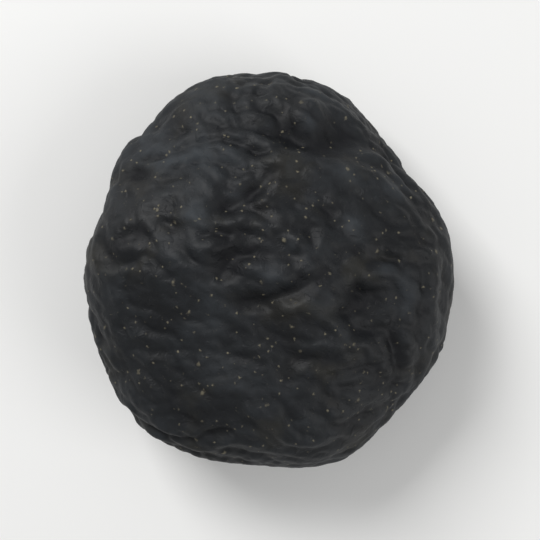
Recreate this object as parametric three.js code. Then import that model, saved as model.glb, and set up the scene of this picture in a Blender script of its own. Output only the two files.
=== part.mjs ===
// A half-dried prune, dried whole around its stone and lying on its broad side.
// Units are millimetres. +Z is up, and +Y runs towards the stalk end. The origin is on the surface that
// the fruit rests on, under the middle of its box.
//
// The skin is one closed surface, a function of two angles. An egg-like body carries, in this order:
// broad swells and dents, the shallow seam of the fruit, the few long creases that stand out on its
// upper face, and folds of two pitches made by adding up short waves. The stalk scar is a puckered
// funnel just under one end, and the blossom tip a small pit just under the other. The underside is
// pressed flat.

import * as THREE from "three";

// Driving dimensions of the body, before it wrinkles.
const HALF_LENGTH = 19.7; // along Y, stalk end to blossom end
const HALF_WIDTH = 17.9; // along X
const HALF_THICKNESS = 10.1; // along Z
const SQUARENESS = 2.25; // power of the cross-section: 2 is an ellipse, more is fuller at the shoulders
const PLAN_SQUARENESS = 2.15; // the same for the outline seen from above
const STALK_TAPER = 0.09; // the stalk end is narrower by this share, and the blossom end wider
const STALK_THINNING = 0.12; // the same for the thickness
const SHOULDER_TAPER = 0.03; // both ends draw in by this share of the width

// How the underside is pressed against the surface it lies on.
const SETTLE = 1.5; // height of flesh that the flat spot takes away
const CONTACT_SOFTNESS = 0.9; // height over which the skin curves into the flat spot
const CALM_UNDERSIDE = 3.2; // folds die out below this height above the flat spot

// Grid of the faceted skin.
const MERIDIANS = 104;
const PARALLELS = 56;

// Broad swells (positive) and dents (negative): direction from the middle, push and spread in mm.
const SWELLS = [
  { name: "left flank bulge", towards: [-0.8, 0.05, 0.25], push: 0.8, spread: 5.0 },
  { name: "right flank bulge", towards: [0.9, 0.1, 0.1], push: 0.9, spread: 5.0 },
  { name: "left shoulder hollow", towards: [-0.88, 0.28, 0.1], push: -0.9, spread: 2.0 },
  { name: "left top corner", towards: [-0.62, 0.78, 0.05], push: -0.3, spread: 3.0 },
  { name: "left shoulder", towards: [-0.78, 0.58, 0.1], push: 0.6, spread: 2.2 },
  { name: "right shoulder flat", towards: [0.74, 0.54, 0.1], push: -1.1, spread: 4.0 },
  { name: "knob by the stalk", towards: [0.25, 0.9, 0.35], push: 1.1, spread: 1.3 },
  { name: "hollow beside the knob", towards: [0.46, 0.77, 0.43], push: -0.8, spread: 1.6 },
  { name: "hollow left of the knob", towards: [0.11, 0.87, 0.48], push: -0.9, spread: 1.6 },
  { name: "hollow above left", towards: [-0.42, 0.74, 0.5], push: -0.6, spread: 3.0 },
  { name: "stone's rise", towards: [-0.3, 0.25, 0.9], push: 0.7, spread: 5.0 },
  { name: "pillow over the middle", towards: [0.04, -0.06, 1.0], push: 0.6, spread: 1.6 },
  { name: "right cheek", towards: [0.5, -0.05, 0.85], push: 0.7, spread: 4.5 },
  { name: "pit in the right cheek", towards: [0.79, 0.14, 0.6], push: -0.5, spread: 1.1 },
  { name: "dent below the right cheek", towards: [0.67, -0.27, 0.69], push: -1.2, spread: 1.7 },
  { name: "lower face hollow", towards: [-0.35, -0.55, 0.75], push: -0.8, spread: 4.5 },
  { name: "blossom end heel", towards: [0.15, -0.95, 0.1], push: 0.5, spread: 5.0 },
  { name: "left heel", towards: [-0.64, -0.76, 0.05], push: -1.3, spread: 4.0 },
  { name: "right heel", towards: [0.6, -0.8, 0.05], push: -0.6, spread: 3.5 },
  { name: "underside left hollow", towards: [-0.6, 0.45, -0.65], push: -1.1, spread: 5.0 },
  { name: "underside right hollow", towards: [0.65, -0.35, -0.65], push: -0.9, spread: 5.0 },
];

// Slow unevenness of the whole skin: the sum of this many plane waves in random directions.
const SLOW_WAVES = 14;
const DRIFT = { size: 0.35, length: 14, seed: 11 };

// Long creases on the upper face, each along a bent line given by its two ends and the point that bends
// it, in plan (x, y).
const CREASES = [
  { name: "under knob", from: [0.6, 14.8], bend: [3.2, 10.2], to: [8.4, 13.6], depth: 0.9, width: 1.4 },
  { name: "lower smile", from: [-4.2, -3.4], bend: [1.8, -3.2], to: [5.9, 0.2], depth: 0.7, width: 0.75 },
  { name: "slant", from: [-4.6, -1.2], bend: [-3.8, 1.4], to: [-0.8, 2.4], depth: 0.8, width: 0.95 },
  { name: "middle arch", from: [-5.4, 5.4], bend: [-1.4, 5.8], to: [1.0, 9.6], depth: 0.6, width: 0.7 },
  { name: "high left", from: [-14.0, 8.6], bend: [-12.4, 9.8], to: [-10.8, 8.8], depth: 0.55, width: 0.75 },
  { name: "left row", from: [-10.4, 8.0], bend: [-8.8, 8.9], to: [-7.0, 8.8], depth: 0.4, width: 0.6 },
  { name: "low left", from: [-15.2, 3.4], bend: [-14.6, 1.6], to: [-13.2, 0.2], depth: 0.5, width: 0.9 },
  { name: "mid left", from: [-13.4, 2.8], bend: [-12.0, 3.0], to: [-10.8, 4.2], depth: 0.3, width: 0.7 },
  { name: "right line", from: [4.8, 6.4], bend: [5.4, 5.6], to: [6.8, 5.0], depth: 0.45, width: 0.6 },
  { name: "over pillow", from: [-2.2, 0.6], bend: [0.6, 2.0], to: [3.6, 0.8], depth: 0.35, width: 0.6 },
  { name: "beside pillow", from: [3.4, 5.0], bend: [4.6, 3.0], to: [4.0, 1.4], depth: 0.35, width: 0.6 },
];
const CREASE_STEPS = 12;
const CREASE_LIFT = 0.35; // the skin rises beside a crease by this share of its depth
const CREASE_TIPS = 0.8; // power of the fade towards a crease's ends: less keeps its depth for longer

// Folds made of short waves. Lean is how far the waves of the broad faces turn from running round the
// fruit, on average, and stray how far each turns from that, in degrees. Towards the rim the waves come to
// run up and down, so that the folds there lie level.
const BROAD_FOLDS = { pitch: 9, depth: 0.7, lean: 0, stray: 55, seed: 101 };
const MIDDLE_FOLDS = { pitch: 3.8, depth: 0.6, lean: 65, stray: 45, seed: 202 };
const SITES_BY_SQUARE_PITCH = 9000; // the number of waves is this over the pitch squared
const WAVE_REACH = 0.95; // how far one short wave reaches, as a share of the pitch
const WAVE_CUTOFF = 3; // reaches past which a wave is left out
const CREASE_ROUNDING = 0.45; // how readily a crease fades where the waves disagree
const FOLD_MEAN = 0.7; // mean height of the fold profile, taken off so that folds add no size
const WANDER = { size: 0.9, length: 9, seeds: [21, 22, 23] }; // how far the folds' lines are pushed about
const BUSY = { middle: 0.85, swing: 0.3, least: 0.55, length: 16, seed: 31 }; // share of the middle folds
const ENDS_CALM = 0.6; // share of the folds that the pits at both ends take away
const CREASE_CALM = 0.5; // and the share that a long crease takes away in its valley
const RIM_CALM = 0.25; // and the share that goes where the skin stands upright

// Stalk end, blossom end and seam.
const SCAR_DROP = 15; // degrees by which the stalk scar lies under the fruit's end
const BLOSSOM_DROP = 8; // and the blossom tip under the other
const FUNNEL = { depth: 1.3, halfAngle: 7 };
const PLEATS = { number: 9, depth: 0.3, halfAngle: 13, unevenness: 1.3 };
const SCAR = { depth: 0.35, halfAngle: 2.8 };
const BLOSSOM_PIT = { depth: 0.9, halfAngle: 5 };
const SEAM = { depth: 0.55, width: 1.3, starts: 0.1, full: 0.6 }; // the last two are shares of HALF_WIDTH

const { clamp, degToRad, euclideanModulo, radToDeg, smoothstep } = THREE.MathUtils;
const STALKWARDS = new THREE.Vector3(0, 1, 0);
const SIDEWAYS = new THREE.Vector3(1, 0, 0);

// Numbers from 0 to 1 in a fixed order: each state is the last one times 16807, modulo 2^31 - 1.
function* draws(seed) {
  let state = seed;
  while (true) {
    state = (state * 16807) % 2147483647;
    yield state / 2147483647;
  }
}

// Directions spread evenly over a sphere, turning by the golden angle from one pole to the other.
function evenDirections(count) {
  const goldenAngle = Math.PI * (3 - Math.sqrt(5));
  return Array.from({ length: count }, (_, i) => {
    const y = 1 - (2 * (i + 0.5)) / count;
    const ring = Math.sqrt(1 - y * y);
    return new THREE.Vector3(ring * Math.cos(i * goldenAngle), y, ring * Math.sin(i * goldenAngle));
  });
}

// Width and thickness of the body at a height y along it, as shares of the greatest ones.
function narrowing(y) {
  const share = y / HALF_LENGTH;
  return {
    wide: 1 - STALK_TAPER * share - SHOULDER_TAPER * share * share,
    thick: 1 - STALK_THINNING * share,
  };
}

// The point of the smooth body in a direction from its middle.
function onBody(direction) {
  const { x, y, z } = direction;
  const across =
    Math.abs(x / HALF_WIDTH) ** SQUARENESS + Math.abs(z / HALF_THICKNESS) ** SQUARENESS;
  const lengthwise = Math.abs(y / HALF_LENGTH) ** PLAN_SQUARENESS;
  const reach = (across ** (PLAN_SQUARENESS / SQUARENESS) + lengthwise) ** (-1 / PLAN_SQUARENESS);
  const point = direction.clone().multiplyScalar(reach);
  const { wide, thick } = narrowing(point.y);
  point.x *= wide;
  point.z *= thick;
  return point;
}

// Outward direction at a point of the body, taken from the plain ellipsoid of the same size.
function outward(point) {
  return new THREE.Vector3(
    point.x / HALF_WIDTH ** 2,
    point.y / HALF_LENGTH ** 2,
    point.z / HALF_THICKNESS ** 2,
  ).normalize();
}

// The point of the body's upper face over a place in plan.
function onUpperFace(x, y) {
  const { wide, thick } = narrowing(y);
  const lengthwise = Math.abs(y / HALF_LENGTH) ** PLAN_SQUARENESS;
  const across = (1 - lengthwise) ** (SQUARENESS / PLAN_SQUARENESS);
  const height = Math.max(across - Math.abs(x / wide / HALF_WIDTH) ** SQUARENESS, 0) ** (1 / SQUARENESS);
  return new THREE.Vector3(x, y, HALF_THICKNESS * thick * height);
}

const bell = (distance, spread) => Math.exp(-((distance / spread) ** 2));

// Profile of a fold from the cosine of its angle: 0 at the sharp floor of a crease, 1 on a ridge's back.
const foldProfile = (cosine) => Math.sqrt(0.5 * (1 + cosine));

// Slow unevenness, about -1 to 1: the sum of plane waves of one length in random directions.
function slowField(length, seed) {
  const random = draws(seed);
  const next = () => random.next().value;
  const terms = Array.from({ length: SLOW_WAVES }, () => {
    const y = 2 * next() - 1;
    const turn = 2 * Math.PI * next();
    const ring = Math.sqrt(1 - y * y);
    const wave = new THREE.Vector3(ring * Math.cos(turn), y, ring * Math.sin(turn));
    return { wave: wave.multiplyScalar((2 * Math.PI) / length), phase: 2 * Math.PI * next() };
  });
  const scale = Math.sqrt(2 / SLOW_WAVES);
  return (p) => scale * terms.reduce((sum, t) => sum + Math.cos(t.wave.dot(p) + t.phase), 0);
}

// Folds of one pitch, from 0 at the floor of a crease to 1 on a ridge. Every site on the skin sends out a
// short wave, whose turn goes from the lean, where the skin is level, to up and down it, where it is
// upright. The waves are added as complex numbers: the angle of the sum runs through one turn from crease
// to crease, and where the waves cancel, creases fork, end and fade.
function foldField({ pitch, lean, stray, seed }) {
  const random = draws(seed);
  const next = () => random.next().value;
  const sites = Math.round(SITES_BY_SQUARE_PITCH / pitch ** 2);
  const waves = evenDirections(sites).map((direction) => {
    const centre = onBody(direction);
    const normal = outward(centre);
    const around = new THREE.Vector3().crossVectors(STALKWARDS, normal).normalize();
    const along = new THREE.Vector3().crossVectors(normal, around);
    const upAndDown = radToDeg(Math.atan2(along.z, around.z));
    const beyondLean = euclideanModulo(upAndDown - lean + 90, 180) - 90;
    const turn = degToRad(lean + beyondLean * (1 - Math.abs(normal.z)) + stray * (2 * next() - 1));
    const wave = around.multiplyScalar(Math.cos(turn)).addScaledVector(along, Math.sin(turn));
    return { centre, wave: wave.multiplyScalar((2 * Math.PI) / pitch), phase: 2 * Math.PI * next() };
  });
  const spread = (WAVE_REACH * pitch) ** 2;
  const furthest = WAVE_CUTOFF ** 2 * spread;
  const offset = new THREE.Vector3();
  return (p) => {
    let real = 0;
    let imaginary = 0;
    let power = 0;
    for (const { centre, wave, phase } of waves) {
      const apart = offset.subVectors(p, centre).lengthSq();
      if (apart >= furthest) continue;
      const weight = Math.exp(-apart / (2 * spread));
      const angle = offset.dot(wave) + phase;
      real += weight * Math.cos(angle);
      imaginary += weight * Math.sin(angle);
      power += weight * weight;
    }
    const strength = Math.sqrt(real ** 2 + imaginary ** 2 + CREASE_ROUNDING ** 2 * power);
    return foldProfile(real / strength);
  };
}

// A long crease along its bent line on the upper face: a narrow valley that fades to its ends, with a
// soft rise two widths away on both sides.
function creaseField({ from, bend, to, depth, width }) {
  const stops = Array.from({ length: CREASE_STEPS + 1 }, (_, i) => {
    const t = i / CREASE_STEPS;
    const [x, y] = [0, 1].map((k) => (1 - t) ** 2 * from[k] + 2 * t * (1 - t) * bend[k] + t ** 2 * to[k]);
    return onUpperFace(x, y);
  });
  const steps = stops.slice(1).map((stop, i) => new THREE.Line3(stops[i], stop));
  const foot = new THREE.Vector3();
  return (p) => {
    let nearest = Infinity;
    let along = 0;
    steps.forEach((step, i) => {
      const t = step.closestPointToPointParameter(p, true);
      const distance = step.at(t, foot).distanceTo(p);
      if (distance >= nearest) return;
      nearest = distance;
      along = (i + t) / CREASE_STEPS;
    });
    const fade = Math.sin(Math.PI * along) ** CREASE_TIPS;
    const valley = fade * bell(nearest, width);
    const rise = fade * CREASE_LIFT * bell(nearest - 2 * width, width);
    return { valley, height: depth * (rise - valley) };
  };
}

const swells = SWELLS.map(({ towards, push, spread }) => ({
  centre: onBody(new THREE.Vector3(...towards).normalize()),
  push,
  spread: spread * Math.SQRT2,
}));
const creases = CREASES.map(creaseField);
const drift = slowField(DRIFT.length, DRIFT.seed);
const wander = WANDER.seeds.map((seed) => slowField(WANDER.length, seed));
const busyness = slowField(BUSY.length, BUSY.seed);
const broadFolds = foldField(BROAD_FOLDS);
const middleFolds = foldField(MIDDLE_FOLDS);

// Broad swells and dents, the seam and the slow unevenness.
function broadRelief(p) {
  const seamSide = smoothstep(-p.x / HALF_WIDTH, SEAM.starts, SEAM.full);
  let height = DRIFT.size * drift(p) - SEAM.depth * seamSide * bell(p.z, SEAM.width);
  for (const { centre, push, spread } of swells) height += push * bell(p.distanceTo(centre), spread);
  return height;
}

// The funnel with its scar and pleats at the stalk end, and the pit at the blossom end.
function endRelief(fromStalk, aroundScar, fromBlossom) {
  const pleat = foldProfile(
    Math.cos(PLEATS.number * aroundScar + PLEATS.unevenness * Math.sin(2 * aroundScar)),
  );
  const pleatRing = bell(fromStalk - FUNNEL.halfAngle, PLEATS.halfAngle / 2);
  return (
    -FUNNEL.depth * bell(fromStalk, FUNNEL.halfAngle) -
    SCAR.depth * bell(fromStalk, SCAR.halfAngle) +
    PLEATS.depth * pleatRing * (pleat - FOLD_MEAN) -
    BLOSSOM_PIT.depth * bell(fromBlossom, BLOSSOM_PIT.halfAngle)
  );
}

// How far the skin stands out from the smooth body at a point p, seen from the middle in a direction.
function relief(direction, p) {
  const raised = direction.clone().applyAxisAngle(SIDEWAYS, degToRad(SCAR_DROP));
  const fromStalk = radToDeg(raised.angleTo(STALKWARDS));
  const aroundScar = Math.atan2(raised.z, raised.x);
  const lowered = direction.clone().applyAxisAngle(SIDEWAYS, degToRad(-BLOSSOM_DROP));
  const fromBlossom = 180 - radToDeg(lowered.angleTo(STALKWARDS));
  const creased = creases.map((crease) => crease(p));

  const pushed = new THREE.Vector3(...wander.map((field) => WANDER.size * field(p))).add(p);
  const busy = clamp(BUSY.middle + BUSY.swing * busyness(p), BUSY.least, 1);
  let folds = BROAD_FOLDS.depth * (broadFolds(pushed) - FOLD_MEAN);
  folds += MIDDLE_FOLDS.depth * busy * (middleFolds(pushed) - FOLD_MEAN);
  folds *= 1 - CREASE_CALM * Math.max(...creased.map(({ valley }) => valley));
  folds *= smoothstep(p.z + HALF_THICKNESS - SETTLE, 0, CALM_UNDERSIDE);
  folds *= 1 - ENDS_CALM * bell(fromStalk, FUNNEL.halfAngle / 2);
  folds *= 1 - ENDS_CALM * bell(fromBlossom, BLOSSOM_PIT.halfAngle);
  folds *= 1 - RIM_CALM * (1 - Math.abs(outward(p).z)) ** 2;

  const creasing = creased.reduce((sum, { height }) => sum + height, 0);
  return broadRelief(p) + creasing + folds + endRelief(fromStalk, aroundScar, fromBlossom);
}

// The finished skin in a direction from the middle: relief added, then the underside pressed flat.
function onSkin(direction) {
  const point = onBody(direction);
  point.addScaledVector(outward(point), relief(direction, point));
  const height = point.z + HALF_THICKNESS - SETTLE;
  point.z = height > 0 ? height ** 2 / (height + CONTACT_SOFTNESS) : 0;
  return point;
}

// Direction from the middle for two angles. The square roots of the half sizes space the points about as
// evenly over the broad faces as over the edges and the ends.
function towards(tilt, turn) {
  return new THREE.Vector3(
    Math.sqrt(HALF_WIDTH) * Math.sin(tilt) * Math.cos(turn),
    Math.sqrt(HALF_LENGTH) * Math.cos(tilt),
    Math.sqrt(HALF_THICKNESS) * Math.sin(tilt) * Math.sin(turn),
  ).normalize();
}

// One closed skin: a grid of meridians and parallels between the two poles.
function skinGeometry() {
  const points = [onSkin(towards(0, 0))];
  for (let row = 1; row < PARALLELS; row += 1) {
    for (let column = 0; column < MERIDIANS; column += 1) {
      points.push(onSkin(towards((Math.PI * row) / PARALLELS, (2 * Math.PI * column) / MERIDIANS)));
    }
  }
  points.push(onSkin(towards(Math.PI, 0)));

  const at = (row, column) => 1 + (row - 1) * MERIDIANS + (column % MERIDIANS);
  const last = points.length - 1;
  const index = [];
  for (let column = 0; column < MERIDIANS; column += 1) {
    index.push(0, at(1, column + 1), at(1, column));
    index.push(last, at(PARALLELS - 1, column), at(PARALLELS - 1, column + 1));
    for (let row = 1; row < PARALLELS - 1; row += 1) {
      const [a, b] = [at(row, column), at(row, column + 1)];
      const [c, d] = [at(row + 1, column + 1), at(row + 1, column)];
      index.push(a, c, d, a, b, c);
    }
  }

  const geometry = new THREE.BufferGeometry().setFromPoints(points).setIndex(index);
  geometry.computeBoundingBox();
  const middle = geometry.boundingBox.getCenter(new THREE.Vector3());
  geometry.translate(-middle.x, -middle.y, -geometry.boundingBox.min.z);
  geometry.computeVertexNormals();
  return geometry;
}

const skin = new THREE.MeshStandardMaterial({ color: 0x2c2d30, roughness: 0.55, metalness: 0 });
const prune = new THREE.Mesh(skinGeometry(), skin);
prune.name = "prune";

const fruit = new THREE.Group();
fruit.add(prune);

export default fruit;
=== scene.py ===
"""A half-dried prune, seen from straight above on a pale floor.

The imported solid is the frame: the fruit here is the same skin on a finer grid, with the fine folds
and the crinkles that the solid leaves out, and with its finish. The file is laid out as an add-on, and
is run as a script. Lengths are in metres.
"""

import math

import bpy
import numpy as np
from bpy.props import FloatProperty, FloatVectorProperty, IntProperty, PointerProperty
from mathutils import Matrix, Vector


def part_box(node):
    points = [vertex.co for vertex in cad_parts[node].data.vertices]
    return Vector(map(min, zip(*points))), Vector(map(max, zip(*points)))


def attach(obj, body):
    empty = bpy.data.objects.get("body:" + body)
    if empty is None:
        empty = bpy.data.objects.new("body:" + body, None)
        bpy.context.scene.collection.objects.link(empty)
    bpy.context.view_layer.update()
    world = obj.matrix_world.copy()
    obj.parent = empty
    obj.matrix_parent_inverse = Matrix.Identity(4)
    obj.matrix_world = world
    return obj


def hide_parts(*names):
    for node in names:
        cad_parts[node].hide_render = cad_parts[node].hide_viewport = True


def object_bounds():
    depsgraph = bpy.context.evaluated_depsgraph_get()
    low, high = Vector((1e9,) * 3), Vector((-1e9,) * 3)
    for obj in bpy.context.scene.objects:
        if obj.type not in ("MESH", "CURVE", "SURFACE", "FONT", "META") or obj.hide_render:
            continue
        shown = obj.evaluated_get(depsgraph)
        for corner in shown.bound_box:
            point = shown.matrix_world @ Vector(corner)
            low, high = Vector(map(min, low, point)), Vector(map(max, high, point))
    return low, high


bl_info = {
    "name": "Prune",
    "version": (1, 0, 0),
    "blender": (4, 5, 0),
    "location": "View3D > Sidebar > Prune",
    "description": "Makes a half-dried prune and the stage that it is seen on",
    "category": "Add Mesh",
}

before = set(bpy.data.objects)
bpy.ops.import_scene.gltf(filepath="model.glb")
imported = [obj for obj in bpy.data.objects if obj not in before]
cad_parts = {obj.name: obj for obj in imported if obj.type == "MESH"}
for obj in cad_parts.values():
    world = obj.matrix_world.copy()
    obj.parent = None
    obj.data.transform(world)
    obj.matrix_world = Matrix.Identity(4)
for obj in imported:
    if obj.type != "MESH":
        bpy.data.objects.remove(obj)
SOLID_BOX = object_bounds()

MM = 0.001

# Broad swells, and dents with a minus: direction from the middle, push and spread in millimetres.
SWELLS = [
    ("left flank bulge", (-0.8, 0.05, 0.25), 0.8, 5.0),
    ("right flank bulge", (0.9, 0.1, 0.1), 0.9, 5.0),
    ("left shoulder hollow", (-0.88, 0.28, 0.1), -0.9, 2.0),
    ("left top corner", (-0.62, 0.78, 0.05), -0.3, 3.0),
    ("left shoulder", (-0.78, 0.58, 0.1), 0.6, 2.2),
    ("right shoulder flat", (0.74, 0.54, 0.1), -1.1, 4.0),
    ("knob by the stalk", (0.25, 0.9, 0.35), 1.1, 1.3),
    ("hollow beside the knob", (0.46, 0.77, 0.43), -0.8, 1.6),
    ("hollow left of the knob", (0.11, 0.87, 0.48), -0.9, 1.6),
    ("hollow above left", (-0.42, 0.74, 0.5), -0.6, 3.0),
    ("stone's rise", (-0.3, 0.25, 0.9), 0.7, 5.0),
    ("pillow over the middle", (0.04, -0.06, 1.0), 0.6, 1.6),
    ("right cheek", (0.5, -0.05, 0.85), 0.7, 4.5),
    ("pit in the right cheek", (0.79, 0.14, 0.6), -0.5, 1.1),
    ("dent below the right cheek", (0.67, -0.27, 0.69), -1.2, 1.7),
    ("lower face hollow", (-0.35, -0.55, 0.75), -0.8, 4.5),
    ("blossom end heel", (0.15, -0.95, 0.1), 0.5, 5.0),
    ("left heel", (-0.64, -0.76, 0.05), -1.3, 4.0),
    ("right heel", (0.6, -0.8, 0.05), -0.6, 3.5),
    ("underside left hollow", (-0.6, 0.45, -0.65), -1.1, 5.0),
    ("underside right hollow", (0.65, -0.35, -0.65), -0.9, 5.0),
]

# Long creases on the upper face: ends and bending point in plan, depth and width, all in millimetres.
CREASES = [
    ("under knob", (0.6, 14.8), (3.2, 10.2), (8.4, 13.6), 0.9, 1.4),
    ("lower smile", (-4.2, -3.4), (1.8, -3.2), (5.9, 0.2), 0.7, 0.75),
    ("slant", (-4.6, -1.2), (-3.8, 1.4), (-0.8, 2.4), 0.8, 0.95),
    ("middle arch", (-5.4, 5.4), (-1.4, 5.8), (1.0, 9.6), 0.6, 0.7),
    ("high left", (-14.0, 8.6), (-12.4, 9.8), (-10.8, 8.8), 0.55, 0.75),
    ("left row", (-10.4, 8.0), (-8.8, 8.9), (-7.0, 8.8), 0.4, 0.6),
    ("low left", (-15.2, 3.4), (-14.6, 1.6), (-13.2, 0.2), 0.5, 0.9),
    ("mid left", (-13.4, 2.8), (-12.0, 3.0), (-10.8, 4.2), 0.3, 0.7),
    ("right line", (4.8, 6.4), (5.4, 5.6), (6.8, 5.0), 0.45, 0.6),
    ("over pillow", (-2.2, 0.6), (0.6, 2.0), (3.6, 0.8), 0.35, 0.6),
    ("beside pillow", (3.4, 5.0), (4.6, 3.0), (4.0, 1.4), 0.35, 0.6),
]
CREASE_STEPS = 12
CREASE_LIFT = 0.35  # rise beside a crease, as a share of its depth
CREASE_TIPS = 0.8  # power by which it fades to its tips
CREASE_CALM = 0.5  # share of the folds that it smooths away

# Random draws: each state is the last one times the factor, modulo the modulus.
DRAW_FACTOR = 16807
DRAW_MODULUS = 2147483647

# Slow unevenness: the sum of this many plane waves in random directions. It lifts the skin, strays the
# coarser folds, and makes some places busier with folds than others.
SLOW_WAVES = 14
DRIFT = {"size": 0.35 * MM, "length": 14 * MM, "seed": 11}
WANDER = {"size": 0.9 * MM, "length": 9 * MM, "seeds": (21, 22, 23)}
BUSY = {"middle": 0.85, "swing": 0.3, "least": 0.55, "length": 16 * MM, "seed": 31}

# Folds made of short waves, the coarsest first: the seed, how far the waves of the broad faces turn
# from running round the fruit, on average, and how far each turns from that, in degrees. The number of
# waves is an area over the pitch squared.
FOLD_SEEDS = {"broad": 101, "middle": 202, "fine": 303, "crinkle": 404}
FOLD_LEAN = {"broad": 0, "middle": 65, "fine": 65, "crinkle": 65}
FOLD_STRAY = {"broad": 55, "middle": 45, "fine": 35, "crinkle": 55}
SITES_BY_SQUARE_PITCH = 9000 * MM**2
WAVE_REACH = 0.95  # spread of a wave's bell, in pitches
WAVE_CUTOFF = 3  # further off than this many spreads a wave is left out
CREASE_ROUNDING = 0.45  # keeps the floors of the folds from being too sharp
FOLD_MEAN = 0.7  # mean height of a fold, which is taken off
ENDS_CALM = 0.6  # share of the folds lost at each end
RIM_CALM = 0.25  # share of the two coarser sets lost where the skin stands upright
BLOCKS = (24, 32)  # the grid is taken in this many blocks by rows and by columns

# How much each set of folds and the long creases count towards how deep a point lies.
HOLLOW_SHARES = {"broad": 0.25, "middle": 0.55, "fine": 0.3, "crinkle": 0.15, "crease": 0.6}

# Stalk end, blossom end and seam: depths and widths as lengths, half angles in degrees.
SCAR_DROP = math.radians(15)  # the stalk scar lies this far under the fruit's end
BLOSSOM_DROP = math.radians(8)  # and the blossom tip under the other
FUNNEL = {"depth": 1.3 * MM, "half_angle": 7}
PLEATS = {"number": 9, "depth": 0.3 * MM, "half_angle": 13, "unevenness": 1.3}
SCAR = {"depth": 0.35 * MM, "half_angle": 2.8}
BLOSSOM_PIT = {"depth": 0.9 * MM, "half_angle": 5}
SEAM = {"depth": 0.55 * MM, "width": 1.3 * MM, "starts": 0.1, "full": 0.6}

# Patches on the upper face: a place in plan and a spread, in millimetres, and a strength. The pale ones
# are thick bloom and painted light, the dark ones worn bloom and painted shade.
BLOOM_AND_PAINTED_LIGHT_PATCHES = [
    (-12.4, 11.0, 1.6, 0.5),
    (-9.4, 10.2, 1.7, 0.5),
    (-6.4, 10.6, 1.5, 0.55),
    (-3.8, 9.9, 1.2, 0.45),
    (-11.2, 13.4, 1.8, 0.35),
    (-6.4, 16.6, 1.5, 0.3),
    (4.4, 17.2, 1.6, 0.35),
    (3.9, 14.2, 1.1, 0.5),
    (-7.0, 5.2, 1.2, 0.6),
    (-3.3, 7.0, 0.9, 0.55),
    (7.2, 9.0, 1.2, 0.4),
    (12.4, 8.2, 1.4, 0.4),
    (4.0, 7.2, 0.8, 0.4),
    (7.6, 4.4, 0.9, 0.4),
    (1.8, 2.0, 0.6, 0.4),
    (0.2, -0.8, 1.3, 0.35),
    (10.8, 0.2, 0.9, 0.4),
    (12.4, -2.6, 1.5, 0.5),
    (-16.4, 7.4, 1.0, 0.4),
    (-5.0, -4.4, 1.4, 0.35),
]
# The dark patches: painted shade, where the bloom is also worn off.
WEAR_AND_PAINTED_SHADE_PATCHES = [
    (-8.4, 14.0, 1.3, 0.4),
    (-4.6, 13.2, 1.2, 0.3),
    (1.6, 13.2, 1.4, 0.9),
    (5.6, 12.4, 1.3, 0.85),
    (7.3, 12.8, 0.8, 0.5),
    (10.6, 12.2, 0.9, 0.35),
    (-12.6, 9.1, 1.1, 0.7),
    (-7.6, 8.7, 0.7, 0.4),
    (-14.4, 2.0, 1.2, 0.65),
    (-12.0, 3.3, 0.8, 0.45),
    (-3.6, 0.6, 1.1, 0.7),
    (-1.8, 1.8, 0.9, 0.6),
    (-4.2, 2.8, 1.0, 0.4),
    (0.2, 8.9, 0.9, 0.5),
    (-1.5, 7.1, 0.7, 0.5),
    (-4.3, 5.8, 0.7, 0.4),
    (4.6, -0.9, 0.8, 0.6),
    (8.0, -3.1, 1.3, 0.8),
    (-2.6, -3.3, 0.8, 0.45),
    (5.9, 5.6, 0.8, 0.4),
    (3.8, 4.8, 0.7, 0.3),
    (7.8, 1.8, 0.5, 0.5),
    (11.4, 2.2, 0.7, 0.4),
]
RIM_BLOOM_AND_PAINTED_SHEEN = 0.25  # pale bloom added where the skin stands upright: painted sheen that lightens the rim

# Noises of the finish: the size of their patches, detail, distortion, and a shift that keeps them apart.
NO_SHIFT = (0.0, 0.0, 0.0)
CLOUDS = (9 * MM, 5.0, 0.4, NO_SHIFT)
PATCHES = (3.2 * MM, 6.0, 0.8, (0.3, 0.1, 0.2))
TINGES = (5.5 * MM, 4.0, 0.6, (0.5, 0.6, 0.9))
GRAIN = (0.7 * MM, 5.0, 0.0, (0.7, 0.4, 0.1))
PORES = (0.22 * MM, 3.0, 0.0, (0.2, 0.9, 0.5))
HAIRLINES = (1.1 * MM, 3.0, 0.4, (0.6, 0.3, 0.8))
FLOOR_CLOUDS = (0.25, 3.0, 0.0, NO_SHIFT)

# Specks: the spacing of their cells, their radius, the share of the cells that has one, and a shift.
FLECKS = (2.1 * MM, 0.27 * MM, 0.6, NO_SHIFT)
DUST = (0.85 * MM, 0.15 * MM, 0.8, (0.4, 0.4, 0.4))
CHOICE_WIDTH = 0.02  # softness of the step that chooses the cells

# Their ragged edge: the size, in radii, and the detail of its noise, how far that strays, and the share
# of the radius from which a speck fades.
SPECK_EDGE = {"size": 1.3, "detail": 2.0, "raggedness": 2.4, "starts": 0.2}

# Shares of each part of the finish, and the noise values between which a noise clears from 0 to 1.
BLOOM = {
    "clouds": 0.33,
    "clouds_clear": (0.38, 0.66),
    "patches": 0.33,
    "patches_clear": (0.4, 0.7),
    "bloom_and_painted_light": 1.7,
    # the bloom thins in the hollows and in the dark patches: painted shade
    "lost_in_hollows_as_painted_shade": 0.75,
    "lost_where_worn_and_shaded": 0.8,
    "least_grain": 0.4,
    "grain": 1.2,
    "cover": 0.8,
}
TINGE = {"clear": (0.5, 0.68), "cover": 0.7}
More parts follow.
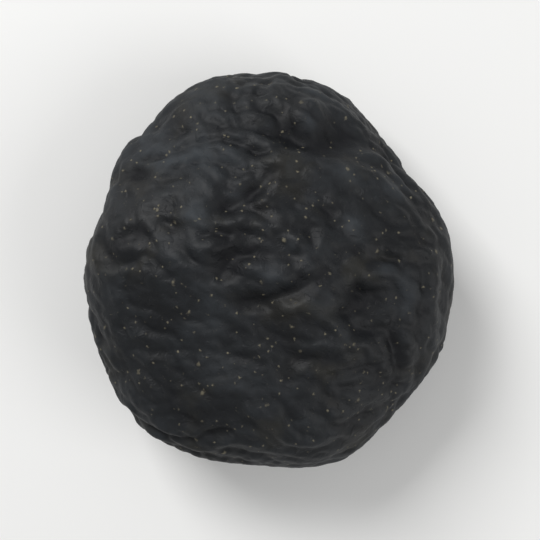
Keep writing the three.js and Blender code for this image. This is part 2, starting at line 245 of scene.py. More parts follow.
# Painted shade: how much of the deep-fold colour is laid over the hollows and the dark patches.
PAINTED_SHADE = {"hollow_clear": (0.25, 0.9), "hollow": 0.6, "wear_and_painted_shade": 1.1}
SPECK_COVER = {"flecks": 0.15, "dust": 0.25, "varying": 0.8}
SCAR_COVER = {"clear": (0.3, 0.7), "cover": 0.8}
ROUGH = {"bloom": 0.8, "hollow": 0.4, "wear_and_painted_shade": 0.8, "grain": 0.16}
RELIEF = {"grain": 0.6, "pores": 0.25, "specks": 0.5, "hairlines": 0.5}
HAIRLINE_SHARPNESS = 30  # the higher, the narrower the finest wrinkles
BUMP ={"Strength": 0.5, "Distance": 0.12 * MM}
SKIN_IOR = 1.33

# Stage: the floor's half side and its clouds, the lights' places and sizes, and the camera's nearest
# sight as a share of its distance.
FLOOR_HALF = 1.5
FLOOR_SHADE = {"clear": (0.3, 0.7), "cover": 0.5, "darker": 0.97}
FLOOR_ROUGHNESS = 0.9
KEY_LIGHT = {"place": (-0.16, 0.20, 0.26), "size": 0.16}
FILL_LIGHT = {"place": (0.24, -0.10, 0.20), "size": 0.22}
NEAR_CLIP = 0.01


class PruneBody(bpy.types.PropertyGroup):
    """Driving dimensions of the fruit before it wrinkles, and how it lies."""

    half_length: FloatProperty(
        name="Half length",
        description="From the middle to the stalk end, along Y",
        default=19.7 * MM,
        unit="LENGTH",
    )
    half_width: FloatProperty(
        name="Half width",
        description="From the middle to the edge, along X",
        default=17.9 * MM,
        unit="LENGTH",
    )
    half_thickness: FloatProperty(
        name="Half thickness",
        description="From the middle to the upper face, along Z",
        default=10.1 * MM,
        unit="LENGTH",
    )
    squareness: FloatProperty(
        name="Squareness",
        description="Power of the cross-section: 2 is an ellipse, more is fuller at the shoulders",
        default=2.25,
    )
    plan_squareness: FloatProperty(
        name="Plan squareness",
        description="The same for the outline seen from above",
        default=2.15,
    )
    stalk_taper: FloatProperty(
        name="Stalk taper",
        description="Share by which the stalk end is narrower, and the blossom end wider",
        default=0.09,
        subtype="FACTOR",
    )
    stalk_thinning: FloatProperty(
        name="Stalk thinning",
        description="Share by which the stalk end is thinner, and the blossom end thicker",
        default=0.12,
        subtype="FACTOR",
    )
    shoulder_taper: FloatProperty(
        name="Shoulder taper",
        description="Share of the width by which both ends draw in",
        default=0.03,
        subtype="FACTOR",
    )
    settle: FloatProperty(
        name="Settle",
        description="Height of flesh that the flat spot underneath takes away",
        default=1.5 * MM,
        unit="LENGTH",
    )
    contact_softness: FloatProperty(
        name="Contact softness",
        description="Height over which the skin curves into the flat spot",
        default=0.9 * MM,
        unit="LENGTH",
    )
    calm_underside: FloatProperty(
        name="Calm underside",
        description="Folds die out below this height above the flat spot",
        default=3.2 * MM,
        unit="LENGTH",
    )
    meridians: IntProperty(
        name="Meridians",
        description="Points of the skin's grid around the fruit",
        default=448,
    )
    parallels: IntProperty(
        name="Parallels",
        description="Steps of the skin's grid from the stalk end to the blossom end",
        default=216,
    )


class PruneFolds(bpy.types.PropertyGroup):
    """Pitch and depth of the four sets of folds."""

    broad_pitch: FloatProperty(
        name="Broad pitch",
        description="From one broad fold to the next",
        default=9 * MM,
        unit="LENGTH",
    )
    broad_depth: FloatProperty(
        name="Broad depth",
        description="Depth of the broad folds",
        default=0.7 * MM,
        unit="LENGTH",
    )
    middle_pitch: FloatProperty(
        name="Middle pitch",
        description="From one wrinkle to the next",
        default=3.8 * MM,
        unit="LENGTH",
    )
    middle_depth: FloatProperty(
        name="Middle depth",
        description="Depth of the wrinkles",
        default=0.6 * MM,
        unit="LENGTH",
    )
    fine_pitch: FloatProperty(
        name="Fine pitch",
        description="From one fine wrinkle to the next",
        default=2.0 * MM,
        unit="LENGTH",
    )
    fine_depth: FloatProperty(
        name="Fine depth",
        description="Depth of the fine wrinkles",
        default=0.3 * MM,
        unit="LENGTH",
    )
    crinkle_pitch: FloatProperty(
        name="Crinkle pitch",
        description="From one crinkle of the skin to the next",
        default=1.15 * MM,
        unit="LENGTH",
    )
    crinkle_depth: FloatProperty(
        name="Crinkle depth",
        description="Depth of the crinkles",
        default=0.11 * MM,
        unit="LENGTH",
    )


class PruneFinish(bpy.types.PropertyGroup):
    """Colours and gloss of the skin."""

    skin_colour: FloatVectorProperty(
        name="Skin",
        description="Colour of the bare skin",
        default=(0.0049, 0.0056, 0.0067),
        subtype="COLOR",
    )
    bloom_colour: FloatVectorProperty(
        name="Bloom",
        description="Colour of the dusty bloom left on the skin",
        default=(0.0290, 0.0335, 0.0384),
        subtype="COLOR",
    )
    tinge_colour: FloatVectorProperty(
        name="Brown tinge",
        description="Colour where the brown flesh shows through",
        default=(0.0180, 0.0165, 0.0122),
        subtype="COLOR",
    )
    # Painted shade, laid over the hollows of the folds and the dark patches.
    painted_shade_colour: FloatVectorProperty(
        name="Deep folds",
        description="Colour at the bottom of the folds and where the bloom is worn off",
        default=(0.0026, 0.0030, 0.0044),
        subtype="COLOR",
    )
    speck_colour: FloatVectorProperty(
        name="Specks",
        description="Colour of the small corky specks",
        default=(0.175, 0.155, 0.105),
        subtype="COLOR",
    )
    scar_colour: FloatVectorProperty(
        name="Stalk scar",
        description="Colour of the dry scar where the stalk was",
        default=(0.075, 0.055, 0.036),
        subtype="COLOR",
    )
    ridge_roughness: FloatProperty(
        name="Ridge roughness",
        description="Roughness of the bare skin on the ridges",
        default=0.5,
        subtype="FACTOR",
    )
    bloom_roughness: FloatProperty(
        name="Bloom roughness",
        description="Roughness where the bloom is thick",
        default=0.7,
        subtype="FACTOR",
    )


class PruneStage(bpy.types.PropertyGroup):
    """Floor, lights and camera."""

    floor_colour: FloatVectorProperty(
        name="Floor",
        description="Colour of the floor",
        default=(0.82, 0.82, 0.81),
        subtype="COLOR",
    )
    key_power: FloatProperty(
        name="Key light",
        description="Power of the large light above the stalk end's left",
        default=1.0,
        unit="POWER",
    )
    fill_power: FloatProperty(
        name="Fill light",
        description="Power of the light on the other side",
        default=0.38,
        unit="POWER",
    )
    sky: FloatProperty(
        name="Sky",
        description="Strength of the even light from all round",
        default=0.4,
    )
    fill_of_frame: FloatProperty(
        name="Fill of the frame",
        description="Share of the picture's height that the fruit takes",
        default=0.74,
        subtype="FACTOR",
    )
    lens: FloatProperty(
        name="Lens",
        description="Focal length in millimetres on a 36 mm sensor",
        default=85,
        subtype="DISTANCE_CAMERA",
    )


def draws(seed, count):
    """Numbers from 0 to 1 in a fixed order: the states over the modulus."""
    states = []
    state = seed
    for _ in range(count):
        state = state * DRAW_FACTOR % DRAW_MODULUS
        states.append(state)
    return np.array(states) / DRAW_MODULUS


def even_directions(count):
    """Directions spread over a sphere: evenly spaced heights, each turned on by the golden angle."""
    i = np.arange(count)
    y = 1 - 2 * (i + 0.5) / count
    ring = np.sqrt(1 - y * y)
    turn = i * math.pi * (3 - math.sqrt(5))
    return np.stack([ring * np.cos(turn), y, ring * np.sin(turn)], -1)


def unit(vectors):
    """Vectors divided by their own lengths."""
    return vectors / np.linalg.norm(vectors, axis=-1, keepdims=True)


def bell(distance, spread):
    """1 in the middle, falling as e to the minus square of distance over spread."""
    return np.exp(-((distance / spread) ** 2))


def smoothstep(value, low, high):
    """0 below low, 1 above high, and three squares less two cubes in between."""
    t = np.clip((value - low) / (high - low), 0, 1)
    return t * t * (3 - 2 * t)


def fold_profile(cosine):
    """Height of a fold: the root of half of 1 plus its angle's cosine, 0 in a crease, 1 on a ridge."""
    return np.sqrt(0.5 * (1 + np.clip(cosine, -1, 1)))


def narrowing(y, body):
    """Factors on width and thickness at y: 1 less each taper times y's share of the half length.

    For the shoulder taper that share is squared, so both ends draw in.
    """
    share = y / body.half_length
    wide = 1 - body.stalk_taper * share - body.shoulder_taper * share**2
    thick = 1 - body.stalk_thinning * share
    return wide, thick


def on_body(direction, body):
    """The smooth body: a superellipsoid of the three half sizes, narrowed towards the stalk end."""
    x, y, z = np.moveaxis(direction, -1, 0)
    power, plan_power = body.squareness, body.plan_squareness
    across = abs(x / body.half_width) ** power + abs(z / body.half_thickness) ** power
    lengthwise = abs(y / body.half_length) ** plan_power
    reach = (across ** (plan_power / power) + lengthwise) ** (-1 / plan_power)
    point = direction * reach[..., None]
    wide, thick = narrowing(point[..., 1], body)
    return point * np.stack([wide, np.ones_like(wide), thick], -1)


def outward(point, body):
    """Outwards from a plain ellipsoid of the same size: each coordinate over its half size squared."""
    return unit(point / np.array([body.half_width, body.half_length, body.half_thickness]) ** 2)


def on_upper_face(x, y, body):
    """The body's upper face over a place in plan: the superellipsoid solved for its height."""
    wide, thick = narrowing(y, body)
    lengthwise = abs(y / body.half_length) ** body.plan_squareness
    across = (1 - lengthwise) ** (body.squareness / body.plan_squareness)
    rest = np.maximum(across - abs(x / wide / body.half_width) ** body.squareness, 0)
    return np.stack([x, y, body.half_thickness * thick * rest ** (1 / body.squareness)], -1)


def slow_field(points, length, seed):
    """Slow rise and fall round nought, 1 in standard deviation.

    It is the sum of plane waves of one length, in random directions and with random phases.
    """
    y, turn, phase = draws(seed, 3 * SLOW_WAVES).reshape(-1, 3).T
    y = 2 * y - 1
    ring = np.sqrt(1 - y * y)
    turn = 2 * math.pi * turn
    waves = np.stack([ring * np.cos(turn), y, ring * np.sin(turn)], -1) * (2 * math.pi / length)
    return np.cos(points @ waves.T + 2 * math.pi * phase).sum(-1) * math.sqrt(2 / SLOW_WAVES)


def fold_field(points, name, pitch, body):
    """Folds of one pitch, 0 at the floor of a crease and 1 on a ridge.

    Sites spread over the body each send out a short wave, a cosine under a bell. A wave's turn goes
    from the lean, where the skin is level, to up and down it, where it is upright. The waves are added
    as complex numbers: the angle of the sum runs through one turn from crease to crease, and where the
    waves cancel, creases fork, end and fade. Each block of the grid meets only the sites near it.
    """
    centres = on_body(even_directions(round(SITES_BY_SQUARE_PITCH / pitch**2)), body)
    normals = outward(centres, body)
    around = unit(np.cross((0.0, 1.0, 0.0), normals))
    along = np.cross(normals, around)
    strays, starts = draws(FOLD_SEEDS[name], 2 * len(centres)).reshape(-1, 2).T
    up_and_down = np.degrees(np.arctan2(along[:, 2], around[:, 2]))
    beyond_lean = (up_and_down - FOLD_LEAN[name] + 90) % 180 - 90
    upright = 1 - abs(normals[:, 2])
    degrees = FOLD_LEAN[name] + beyond_lean * upright + FOLD_STRAY[name] * (2 * strays - 1)
    turn = np.radians(degrees)[:, None]
    waves = (around * np.cos(turn) + along * np.sin(turn)) * (2 * math.pi / pitch)
    phases = 2 * math.pi * starts
    reach = WAVE_REACH * pitch
    cutoff = WAVE_CUTOFF * reach

    heights = np.empty(points.shape[:2])
    for rows in np.array_split(np.arange(points.shape[0]), BLOCKS[0]):
        for columns in np.array_split(np.arange(points.shape[1]), BLOCKS[1]):
            window = np.ix_(rows, columns)
            block = points[window]
            middle = block.mean((0, 1))
            radius = np.linalg.norm(block - middle, axis=-1).max()
            near = np.linalg.norm(centres - middle, axis=-1) < radius + cutoff
            offset = block[:, :, None] - centres[near]
            apart = (offset**2).sum(-1)
            weight = np.where(apart < cutoff**2, np.exp(-apart / (2 * reach**2)), 0)
            angle = (offset * waves[near]).sum(-1) + phases[near]
            real = (weight * np.cos(angle)).sum(-1)
            imaginary = (weight * np.sin(angle)).sum(-1)
            power = (weight**2).sum(-1)
            strength = np.sqrt(real**2 + imaginary**2 + CREASE_ROUNDING**2 * power)
            heights[window] = fold_profile(real / strength)
    return heights


def crease(points, ends, depth, width, body):
    """One long crease: the valley's share and the height.

    The line bends towards its bending point, and is laid on the upper face in straight steps. The
    valley is a bell of the distance to the line, and the rise beside it another bell two widths away.
    Both fade to the ends as a power of the sine along the line.
    """
    t = np.linspace(0, 1, CREASE_STEPS + 1)[:, None]
    start, bend, end = np.array(ends)
    plan = (1 - t) ** 2 * start + 2 * t * (1 - t) * bend + t**2 * end
    stops = on_upper_face(plan[:, 0], plan[:, 1], body)
    nearest = np.full(points.shape[:2], np.inf)
    along = np.zeros(points.shape[:2])
    for i, (a, b) in enumerate(zip(stops, stops[1:])):
        share = np.clip((points - a) @ (b - a) / ((b - a) @ (b - a)), 0, 1)
        distance = np.linalg.norm(points - a - share[..., None] * (b - a), axis=-1)
        closer = distance < nearest
        nearest = np.where(closer, distance, nearest)
        along = np.where(closer, (i + share) / CREASE_STEPS, along)
    fade = np.sin(math.pi * along) ** CREASE_TIPS
    valley = fade * bell(nearest, width)
    rise = fade * CREASE_LIFT * bell(nearest - 2 * width, width)
    return valley, depth * (rise - valley)


def broad_relief(points, body):
    """Slow unevenness, less the seam, a bell across one flank, plus a bell for each swell or dent."""
    flank = smoothstep(-points[..., 0] / body.half_width, SEAM["starts"], SEAM["full"])
    height = DRIFT["size"] * slow_field(points, DRIFT["length"], DRIFT["seed"])
    height -= SEAM["depth"] * flank * bell(points[..., 2], SEAM["width"])
    for _, towards, push, spread in SWELLS:
        centre = on_body(unit(np.array(towards)), body)
        apart = np.linalg.norm(points - centre, axis=-1)
        height += push * MM * bell(apart, spread * MM * math.sqrt(2))
    return height


def raised(direction, angle):
    """Directions turned about X, so that what lies an angle under +Y comes to lie on it."""
    x, y, z = np.moveaxis(direction, -1, 0)
    cosine, sine = math.cos(angle), math.sin(angle)
    return x, cosine * y - sine * z, sine * y + cosine * z


def end_relief(from_stalk, around_scar, from_blossom):
    """Bells of the angle from each end: the funnel, its scar, a ring of pleats and the blossom pit."""
    wave = PLEATS["number"] * around_scar + PLEATS["unevenness"] * np.sin(2 * around_scar)
    pleat = fold_profile(np.cos(wave))
    ring = bell(from_stalk - FUNNEL["half_angle"], PLEATS["half_angle"] / 2)
    return (
        PLEATS["depth"] * ring * (pleat - FOLD_MEAN)
        - FUNNEL["depth"] * bell(from_stalk, FUNNEL["half_angle"])
        - SCAR["depth"] * bell(from_stalk, SCAR["half_angle"])
        - BLOSSOM_PIT["depth"] * bell(from_blossom, BLOSSOM_PIT["half_angle"])
    )


def skin_directions(body):
    """Grid of directions: tilt by rows, turn by columns, on an ellipsoid of the half sizes' roots."""
    tilt = np.linspace(0, math.pi, body.parallels + 1)[:, None]
    turn = np.linspace(0, 2 * math.pi, body.meridians, endpoint=False)
    x = math.sqrt(body.half_width) * np.sin(tilt) * np.cos(turn)
    y = math.sqrt(body.half_length) * np.cos(tilt) * np.ones_like(turn)
    z = math.sqrt(body.half_thickness) * np.sin(tilt) * np.sin(turn)
    return unit(np.stack([x, y, z], -1))


def fold_relief(point, upright, folds, body):
    """Height of the four sets of folds, and how deep a point lies in them.

    A set's height is its depth times its field less the mean. The two coarser sets stray with the slow
    wander and are calmer where the skin stands upright. The busy places have more of the middle and
    the fine set. How deep a point lies is the sum of 1 less each field, times the set's share.
    """
    wander = [slow_field(point, WANDER["length"], seed) for seed in WANDER["seeds"]]
    pushed = point + WANDER["size"] * np.stack(wander, -1)
    swing = BUSY["swing"] * slow_field(point, BUSY["length"], BUSY["seed"])
    busy = np.clip(BUSY["middle"] + swing, BUSY["least"], 1)
    broad = fold_field(pushed, "broad", folds.broad_pitch, body)
    middle = fold_field(pushed, "middle", folds.middle_pitch, body)
    fine = fold_field(point, "fine", folds.fine_pitch, body)
    crinkle = fold_field(point, "crinkle", folds.crinkle_pitch, body)

    height = folds.broad_depth * (broad - FOLD_MEAN)
    height += folds.middle_depth * busy * (middle - FOLD_MEAN)
    height *= 1 - RIM_CALM * upright
    height += folds.fine_depth * busy * (fine - FOLD_MEAN)
    height += folds.crinkle_depth * (crinkle - FOLD_MEAN)

    hollow = HOLLOW_SHARES["broad"] * (1 - broad)
    hollow += HOLLOW_SHARES["middle"] * busy * (1 - middle)
    hollow += HOLLOW_SHARES["fine"] * (1 - fine)
    hollow += HOLLOW_SHARES["crinkle"] * (1 - crinkle)
    return height, hollow


def above_spot(point, body):
    """Height above the flat spot, before the underside is pressed onto it."""
    return point[..., 2] + body.half_thickness - body.settle


def skin_surface(body, folds):
    """The skin's points on the grid, how deep each lies in its folds, its share of the stalk scar, and
    how upright the skin stands there: the square of 1 less its outward direction's rise.

    A point is the smooth body's, pushed outwards by the relief: broad swells, long creases, four sets
    of folds and both ends. The underside is then pressed flat: a height h above the flat spot becomes h
    squared over h plus the contact softness, and what was below it lies at nought.
    """
    direction = skin_directions(body)
    point = on_body(direction, body)
    x, y, z = raised(direction, SCAR_DROP)
    from_stalk = np.degrees(np.arccos(np.clip(y, -1, 1)))
    around_scar = np.arctan2(z, x)
    y = raised(direction, -BLOSSOM_DROP)[1]
    from_blossom = np.degrees(np.arccos(np.clip(-y, -1, 1)))

    valleys = np.zeros(point.shape[:2])
    relief = broad_relief(point, body)
    for _, start, bend, end, depth, width in CREASES:
        ends = np.array([start, bend, end]) * MM
        valley, height = crease(point, ends, depth * MM, width * MM, body)
        valleys = np.maximum(valleys, valley)
        relief += height

    upright = (1 - abs(outward(point, body)[..., 2])) ** 2
    height, hollow = fold_relief(point, upright, folds, body)
    calm = 1 - CREASE_CALM * valleys
    calm *= smoothstep(above_spot(point, body), 0, body.calm_underside)
    calm *= 1 - ENDS_CALM * bell(from_stalk, FUNNEL["half_angle"] / 2)
    calm *= 1 - ENDS_CALM * bell(from_blossom, BLOSSOM_PIT["half_angle"])
    relief += calm * height + end_relief(from_stalk, around_scar, from_blossom)

    point = point + outward(point, body) * relief[..., None]
    above = above_spot(point, body)
    pressed = above**2 / (np.maximum(above, 0) + body.contact_softness)
    point[..., 2] = np.where(above > 0, pressed, 0)

    hollow = np.clip(calm * hollow + HOLLOW_SHARES["crease"] * valleys, 0, 1)
    return point, hollow, bell(from_stalk, SCAR["half_angle"]), upright


def patched(points, patches):
    """On the upper face, the sum of a bell in plan for each patch; nought underneath."""
    total = np.zeros(points.shape[:2])
    for x, y, spread, strength in patches:
        apart = np.hypot(points[..., 0] - x * MM, points[..., 1] - y * MM)
        total += strength * bell(apart, spread * MM)
    return total * (points[..., 2] > points[..., 2].mean())


def closed_faces(rows, columns):
    """Faces of a grid that closes round its columns: quads between the rows, a fan to each pole."""
    i = np.arange(columns)
    j = (i + 1) % columns
    starts = 1 + columns * np.arange(rows - 1)[:, None]
    quads = np.stack([starts + i, starts + j, starts + columns + j, starts + columns + i], -1)
    last = 1 + rows * columns
    stalk_fan = np.stack([np.zeros(columns, int), 1 + j, 1 + i], -1)
    blossom_fan = np.stack([np.full(columns, last), last - columns + i, last - columns + j], -1)
    return quads.reshape(-1, 4).tolist() + stalk_fan.tolist() + blossom_fan.tolist()


def poles_and_rows(values):
    """One value for each mesh point: the first pole's, those of the rows between, the last pole's."""
    flat = values.reshape(values.shape[0], values.shape[1], -1)
    return np.concatenate([flat[0, :1], flat[1:-1].reshape(-1, flat.shape[-1]), flat[-1, :1]])


class Strand:
    """One socket of a material's nodes. Arithmetic on it adds Math nodes."""

    def __init__(self, tree, socket=None):
        self.tree = tree
        self.socket = socket

    def node(self, kind, settings, sockets, output=0):
        """Adds a node, its settings first, then its sockets' values or links. Gives one output."""
        made = self.tree.nodes.new(kind)
        for name, value in settings.items():
            setattr(made, name, value)
        for name, value in sockets.items():
            if isinstance(value, Strand):
                self.tree.links.new(value.socket, made.inputs[name])
            else:
                made.inputs[name].default_value = value
        return Strand(self.tree, made.outputs[output]) if len(made.outputs) else made

    def math(self, operation, a, b):
        """A Math node on two values, either of them a number or a strand."""
        return self.node("ShaderNodeMath", {"operation": operation}, {0: a, 1: b})

    def __add__(self, other):
        return self.math("ADD", self, other)

    def __radd__(self, other):
        return self.math("ADD", other, self)

    def __sub__(self, other):
        return self.math("SUBTRACT", self, other)

    def __rsub__(self, other):
        return self.math("SUBTRACT", other, self)

    def __mul__(self, other):
        return self.math("MULTIPLY", self, other)

    def __rmul__(self, other):
        return self.math("MULTIPLY", other, self)

    def clear(self, low, high):
        """0 below low, 1 above high, smooth in between."""
        settings = {"interpolation_type": "SMOOTHSTEP"}
        sockets = {"Value": self, "From Min": low, "From Max": high, "To Min": 0.0, "To Max": 1.0}
        return self.node("ShaderNodeMapRange", settings, sockets)

    def over(self, colour, beneath):
        """This mask's share of a colour over another. Mix has its colours at 6 and 7, and out at 2."""
        sockets = {0: self, 6: beneath, 7: colour}
        return self.node("ShaderNodeMix", {"data_type": "RGBA"}, sockets, output=2)


def opaque(colour):
    """A colour with its full opacity, as a socket takes it."""
    return (*colour, 1.0)


def blank_material(name):
    """A material without nodes, a strand that adds them, and the object coordinates."""
    material = bpy.data.materials.new(name)
    material.use_nodes = True
    material.node_tree.nodes.clear()
    start = Strand(material.node_tree)
    return material, start, start.node("ShaderNodeTexCoord", {}, {}, "Object")


def noise(place, size, detail, distortion, shift):
    """Cloudy pattern, 0 to 1, whose patches are about as wide as size."""
    moved = place.node("ShaderNodeMapping", {}, {"Vector": place, "Location": shift})
    sockets = {"Vector": moved, "Scale": 1 / size, "Detail": detail, "Distortion": distortion}
    return place.node("ShaderNodeTexNoise", {}, sockets)


def specks(place, spacing, radius, share, shift):
    """Specks with uneven edges: the nearest cell's middle within a radius, in a share of the cells.

    A noise times the raggedness, about 1 on average, stretches the distance from the middle.
    """
    moved = place.node("ShaderNodeMapping", {}, {"Vector": place, "Location": shift})
    sockets = {"Vector": moved, "Scale": 1 / spacing, "Randomness": 1.0}
    ragged = SPECK_EDGE["raggedness"]
    waver = noise(place, SPECK_EDGE["size"] * radius, SPECK_EDGE["detail"], 0.0, shift)
    edge = waver * ragged - (ragged / 2 - 1)
    distance = place.node("ShaderNodeTexVoronoi", {}, sockets)
    cell = place.node("ShaderNodeTexVoronoi", {}, sockets, "Color")
    chosen = place.node("ShaderNodeSeparateColor", {}, {"Color": cell})
    there = chosen.clear(1 - share, 1 - share + CHOICE_WIDTH)
    return there * (1 - (distance * edge * (spacing / radius)).clear(SPECK_EDGE["starts"], 1.0))


def skin_material(finish):
    """Near-black skin with a bluish bloom, brown tinges, pale specks and a dry stalk scar, painted shade
    in the folds and dark patches, and painted light in the pale patches and on the rim.
    """
    material, start, place = blank_material("prune_skin")
    hollow, scar, bloom_and_painted_light, wear_and_painted_shade = (
        start.node("ShaderNodeAttribute", {"attribute_name": name}, {}, "Fac")
        for name in ("hollow", "scar", "bloom_and_painted_light", "wear_and_painted_shade")
    )
    clouds = noise(place, *CLOUDS)
    patches = noise(place, *PATCHES)
    grain = noise(place, *GRAIN)
    pores = noise(place, *PORES)
    flecks = specks(place, *FLECKS)
    dust = specks(place, *DUST)

    bloom = clouds.clear(*BLOOM["clouds_clear"]) * BLOOM["clouds"]
    bloom = bloom + patches.clear(*BLOOM["patches_clear"]) * BLOOM["patches"]
    # The pale patches and the rim's added bloom are painted light.
    bloom = bloom + bloom_and_painted_light * (BLOOM["bloom_and_painted_light"] + patches)
    # Thinner bloom in the hollows and the dark patches is painted shade.
    bloom = bloom * (1 - BLOOM["lost_in_hollows_as_painted_shade"] * hollow) * (1 - BLOOM["lost_where_worn_and_shaded"] * wear_and_painted_shade)
    bloom = bloom * (BLOOM["least_grain"] + BLOOM["grain"] * grain)
    tinge = noise(place, *TINGES).clear(*TINGE["clear"]) * TINGE["cover"]
    # Painted shade: the deep-fold colour over the hollows and the dark patches.
    shade = hollow.clear(*PAINTED_SHADE["hollow_clear"]) * PAINTED_SHADE["hollow"] + wear_and_painted_shade * PAINTED_SHADE["wear_and_painted_shade"]
    fleck_cover = flecks * (SPECK_COVER["flecks"] + SPECK_COVER["varying"] * grain)
    dust_cover = dust * (SPECK_COVER["dust"] + SPECK_COVER["varying"] * patches)
    scar_cover = scar.clear(*SCAR_COVER["clear"]) * SCAR_COVER["cover"]

    colour = tinge.over(opaque(finish.tinge_colour), opaque(finish.skin_colour))
    colour = (bloom * BLOOM["cover"]).over(opaque(finish.bloom_colour), colour)
    colour = shade.over(opaque(finish.painted_shade_colour), colour)
    colour = fleck_cover.over(opaque(finish.speck_colour), colour)
    colour = dust_cover.over(opaque(finish.speck_colour), colour)
    colour = scar_cover.over(opaque(finish.scar_colour), colour)

    dull = bloom * ROUGH["bloom"] + hollow * ROUGH["hollow"] + wear_and_painted_shade * ROUGH["wear_and_painted_shade"]
    span = finish.bloom_roughness - finish.ridge_roughness
    roughness = finish.ridge_roughness + span * dull + (grain - 0.5) * ROUGH["grain"]

    # The finest wrinkles: furrows along the lines where a noise passes through its middle value.
    off_middle = noise(place, *HAIRLINES) - 0.5
    hairlines = (off_middle * off_middle * HAIRLINE_SHARPNESS).clear(0.0, 1.0)
    relief = grain * RELIEF["grain"] + pores * RELIEF["pores"]
    relief = relief + (flecks + dust) * RELIEF["specks"] + hairlines * RELIEF["hairlines"]
    bumps = start.node("ShaderNodeBump", {}, {**BUMP, "Height": relief})
    sockets = {"Base Color": colour, "Roughness": roughness, "Normal": bumps, "IOR": SKIN_IOR}
    shader = start.node("ShaderNodeBsdfPrincipled", {}, sockets)
    start.node("ShaderNodeOutputMaterial", {}, {"Surface": shader})
    return material


def floor_material(colour):
    """Pale matt floor with the faintest cloudiness."""
    material, start, place = blank_material("pale_floor")
    cover = noise(place, *FLOOR_CLOUDS).clear(*FLOOR_SHADE["clear"]) * FLOOR_SHADE["cover"]
    darker = [FLOOR_SHADE["darker"] * part for part in colour]
    shade = cover.over(opaque(darker), opaque(colour))
    sockets = {"Base Color": shade, "Roughness": FLOOR_ROUGHNESS}
    shader = start.node("ShaderNodeBsdfPrincipled", {}, sockets)
    start.node("ShaderNodeOutputMaterial", {}, {"Surface": shader})
    return material


def mesh_object(name, points, faces, material):
    """A smooth mesh at the origin, in the scene."""
    mesh = bpy.data.meshes.new(name)
    mesh.from_pydata(points.tolist(), [], faces)
    mesh.shade_smooth()
    mesh.materials.append(material)
    made = bpy.data.objects.new(name, mesh)
    bpy.context.collection.objects.link(made)
    return made


class PRUNE_OT_fruit(bpy.types.Operator):
    """Makes the wrinkled fruit in the place of its solid"""

    bl_idname = "prune.fruit"
    bl_label = "Fruit"

    def execute(self, context):
        body = context.scene.prune_body
        points, hollow, scar, upright = skin_surface(body, context.scene.prune_folds)
        low, high = (np.array(corner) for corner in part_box("prune"))
        points += (low + high) / 2 - (points.min((0, 1)) + points.max((0, 1))) / 2
        points[..., 2] -= points[..., 2].min() - low[2]
        fruit = mesh_object(
            "prune_fruit",
            poles_and_rows(points),
            closed_faces(body.parallels - 1, body.meridians),
            skin_material(context.scene.prune_finish),
        )
        # Painted light: the pale patches and the rim's added bloom. Painted shade, with worn bloom: the
        # dark patches.
        bloom_and_painted_light = patched(points, BLOOM_AND_PAINTED_LIGHT_PATCHES) + RIM_BLOOM_AND_PAINTED_SHEEN * upright
        wear_and_painted_shade = patched(points, WEAR_AND_PAINTED_SHADE_PATCHES)
        for name, values in (("hollow", hollow), ("scar", scar), ("bloom_and_painted_light", bloom_and_painted_light), ("wear_and_painted_shade", wear_and_painted_shade)):
            attribute = fruit.data.attributes.new(name, "FLOAT", "POINT")
            attribute.data.foreach_set("value", poles_and_rows(values).ravel().astype(np.float32))
        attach(fruit, "root")
        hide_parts("prune")
        return {"FINISHED"}


def soft_light(name, place, size, power):
    """A square area light at a place, turned to the fruit."""
    light = bpy.data.lights.new(name, "AREA")
    light.energy = power
    light.size = size
    made = bpy.data.objects.new(name, light)
    made.location = place
    made.rotation_euler = (-Vector(place)).to_track_quat("-Z", "Y").to_euler()
    bpy.context.collection.objects.link(made)


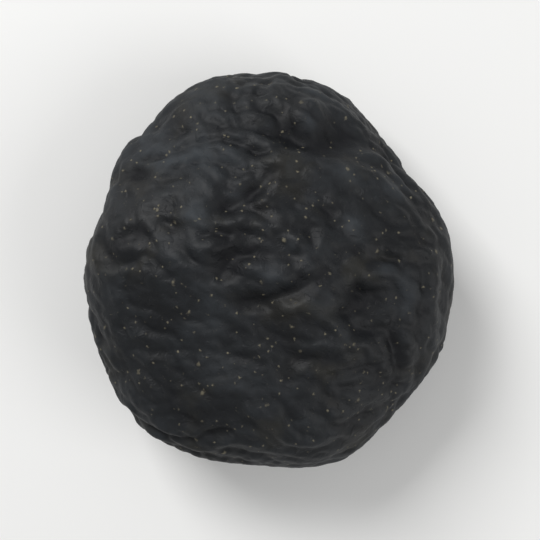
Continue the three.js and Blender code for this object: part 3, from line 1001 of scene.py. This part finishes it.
class PRUNE_OT_stage(bpy.types.Operator):
    """Makes the pale floor, the soft lights and the camera straight above the fruit"""

    bl_idname = "prune.stage"
    bl_label = "Stage"

    def execute(self, context):
        stage = context.scene.prune_stage
        corners = FLOOR_HALF * np.array([(-1, -1, 0), (1, -1, 0), (1, 1, 0), (-1, 1, 0)])
        floor = mesh_object("floor", corners, [(0, 1, 2, 3)], floor_material(stage.floor_colour))

        soft_light("key_light", KEY_LIGHT["place"], KEY_LIGHT["size"], stage.key_power)
        soft_light("fill_light", FILL_LIGHT["place"], FILL_LIGHT["size"], stage.fill_power)
        world = bpy.data.worlds.new("soft_sky")
        world.use_nodes = True
        background = world.node_tree.nodes["Background"]
        background.inputs["Color"].default_value = (1.0, 1.0, 1.0, 1.0)
        background.inputs["Strength"].default_value = stage.sky
        context.scene.world = world
        context.scene.view_settings.view_transform = "Standard"

        low, high = SOLID_BOX
        camera = bpy.data.cameras.new("camera")
        camera.lens = stage.lens
        half_view = math.atan(camera.sensor_width / 2 / camera.lens)
        reach = (high.y - low.y) / stage.fill_of_frame / 2 / math.tan(half_view)
        made = bpy.data.objects.new("camera", camera)
        made.location = ((low.x + high.x) / 2, (low.y + high.y) / 2, (low.z + high.z) / 2 + reach)
        camera.clip_start = reach * NEAR_CLIP
        bpy.context.collection.objects.link(made)
        context.scene.camera = made
        return {"FINISHED"}


class PRUNE_PT_panel(bpy.types.Panel):
    """Lists the fruit's and the stage's settings and buttons"""

    bl_idname = "PRUNE_PT_panel"
    bl_label = "Prune"
    bl_space_type = "VIEW_3D"
    bl_region_type = "UI"
    bl_category = "Prune"

    def draw(self, context):
        for settings in SETTINGS:
            group = getattr(context.scene, settings)
            box = self.layout.box()
            for name in group.__annotations__:
                box.prop(group, name)
        self.layout.operator(PRUNE_OT_fruit.bl_idname)
        self.layout.operator(PRUNE_OT_stage.bl_idname)


SETTINGS = {
    "prune_body": PruneBody,
    "prune_folds": PruneFolds,
    "prune_finish": PruneFinish,
    "prune_stage": PruneStage,
}
BUTTONS = (PRUNE_OT_fruit, PRUNE_OT_stage, PRUNE_PT_panel)


def register():
    """Adds the settings, the buttons and the panel."""
    for made in (*SETTINGS.values(), *BUTTONS):
        bpy.utils.register_class(made)
    for name, group in SETTINGS.items():
        setattr(bpy.types.Scene, name, PointerProperty(type=group))


def unregister():
    """Takes them away again."""
    for name in SETTINGS:
        delattr(bpy.types.Scene, name)
    for made in reversed((*SETTINGS.values(), *BUTTONS)):
        bpy.utils.unregister_class(made)


def main():
    register()
    bpy.ops.prune.stage()
    bpy.ops.prune.fruit()


if __name__ == "__main__":
    main()
